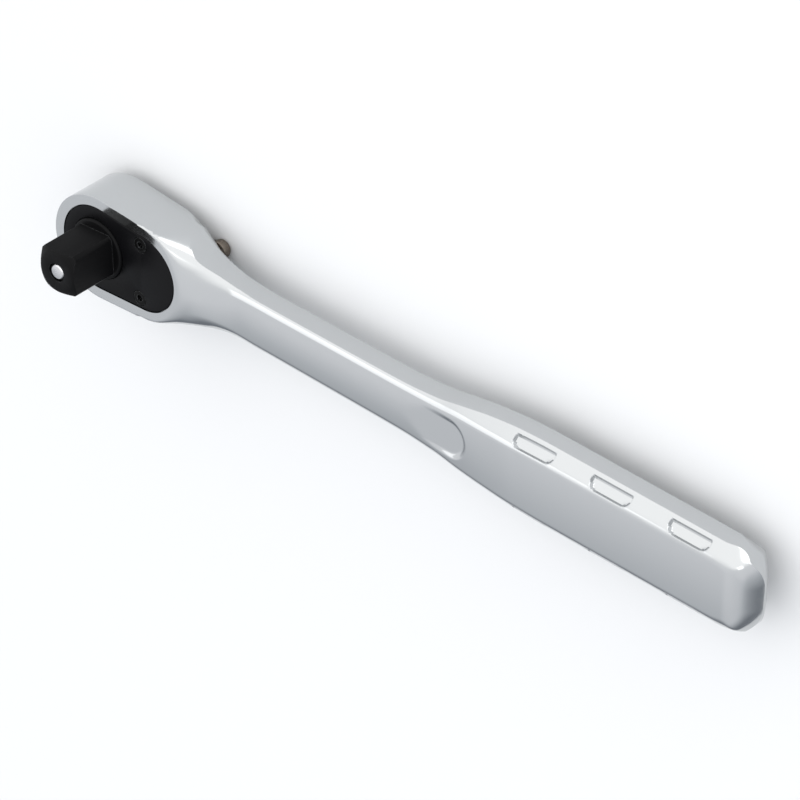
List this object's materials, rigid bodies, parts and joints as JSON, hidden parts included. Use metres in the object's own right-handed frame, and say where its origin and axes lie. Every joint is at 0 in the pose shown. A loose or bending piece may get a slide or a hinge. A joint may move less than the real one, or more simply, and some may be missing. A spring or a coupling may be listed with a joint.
{
  "type": "ratchet wrench",
  "caption": "Slim reversible ratchet wrench: teardrop head with a square drive and release pin, black cover plate, rear thumb lever, and a bevelled steel handle with finger pockets.",
  "frame": {"origin": "on the drive axis, at the collar face that a socket seats against", "axes": "+Z along the drive square towards its tip, +X along the handle towards its butt, +Y across the head"},
  "size_m": [0.1849, 0.0244, 0.0269],
  "materials": {
    "chrome": "polished chrome plate",
    "black_oxide": "satin black oxide on steel",
    "black_screw": "black oxide screw",
    "spring_steel": "bright spring steel",
    "seal_rubber": "matt nitrile rubber",
    "nickel": "satin nickel",
    "ball_steel": "ground steel",
    "tool_steel": "hardened tool steel",
    "dark_nickel": "dark nickel plate"
  },
  "bodies": {
    "casing": {"body": "chrome", "cover_plate": "black_oxide", "cover_screws": "black_screw", "pawl_pin": "ball_steel", "gear_washer": "spring_steel"},
    "drive": {"drive_gear": "black_oxide", "gear_seal": "seal_rubber", "button_ring": "spring_steel", "release_spring": "spring_steel"},
    "release": {"release_button": "nickel", "release_rod": "nickel"},
    "ball": {"detent_ball": "ball_steel"},
    "pawl": {"pawl": "tool_steel"},
    "lever": {"reversing_lever": "dark_nickel", "lever_clip": "spring_steel", "lever_seal": "seal_rubber", "selector_spring": "spring_steel"},
    "plunger": {"selector_plunger": "ball_steel"}
  },
  "joints": [
    {"name": "drive_spin", "type": "hinge", "parent": "casing", "child": "drive", "pos_m": [0, 0, 0], "axis": [0, 0, 1], "continuous": true},
    {"name": "release_press", "type": "slide", "parent": "drive", "child": "release", "axis": [0, 0, 1], "range_m": [0, 0.0025], "stiffness_N_per_m": 600, "springref_m": -0.003, "deforming": ["release_spring"]},
    {"name": "ball_drop", "type": "slide", "parent": "drive", "child": "ball", "axis": [-0.0872, 0.9962, 0], "range_m": [0, 0.0006]},
    {"name": "lever_turn", "type": "hinge", "parent": "casing", "child": "lever", "pos_m": [0.0162, 0, -0.006], "axis": [0, 0, 1], "range_deg": [-68, 0]},
    {"name": "pawl_rock", "type": "hinge", "parent": "casing", "child": "pawl", "pos_m": [0.01, 0, -0.006], "axis": [0, 0, 1], "range_deg": [0, 16]},
    {"name": "plunger_press", "type": "slide", "parent": "lever", "child": "plunger", "axis": [0.829, 0.5592, 0], "range_m": [0, 0.0006], "stiffness_N_per_m": 900, "springref_m": -0.001, "deforming": ["selector_spring"]}
  ],
  "couplings": [
    {"joint": "ball_drop", "follows": "release_press", "ratio": 0.24},
    {"joint": "pawl_rock", "follows": "lever_turn", "ratio": -0.23529}
  ]
}
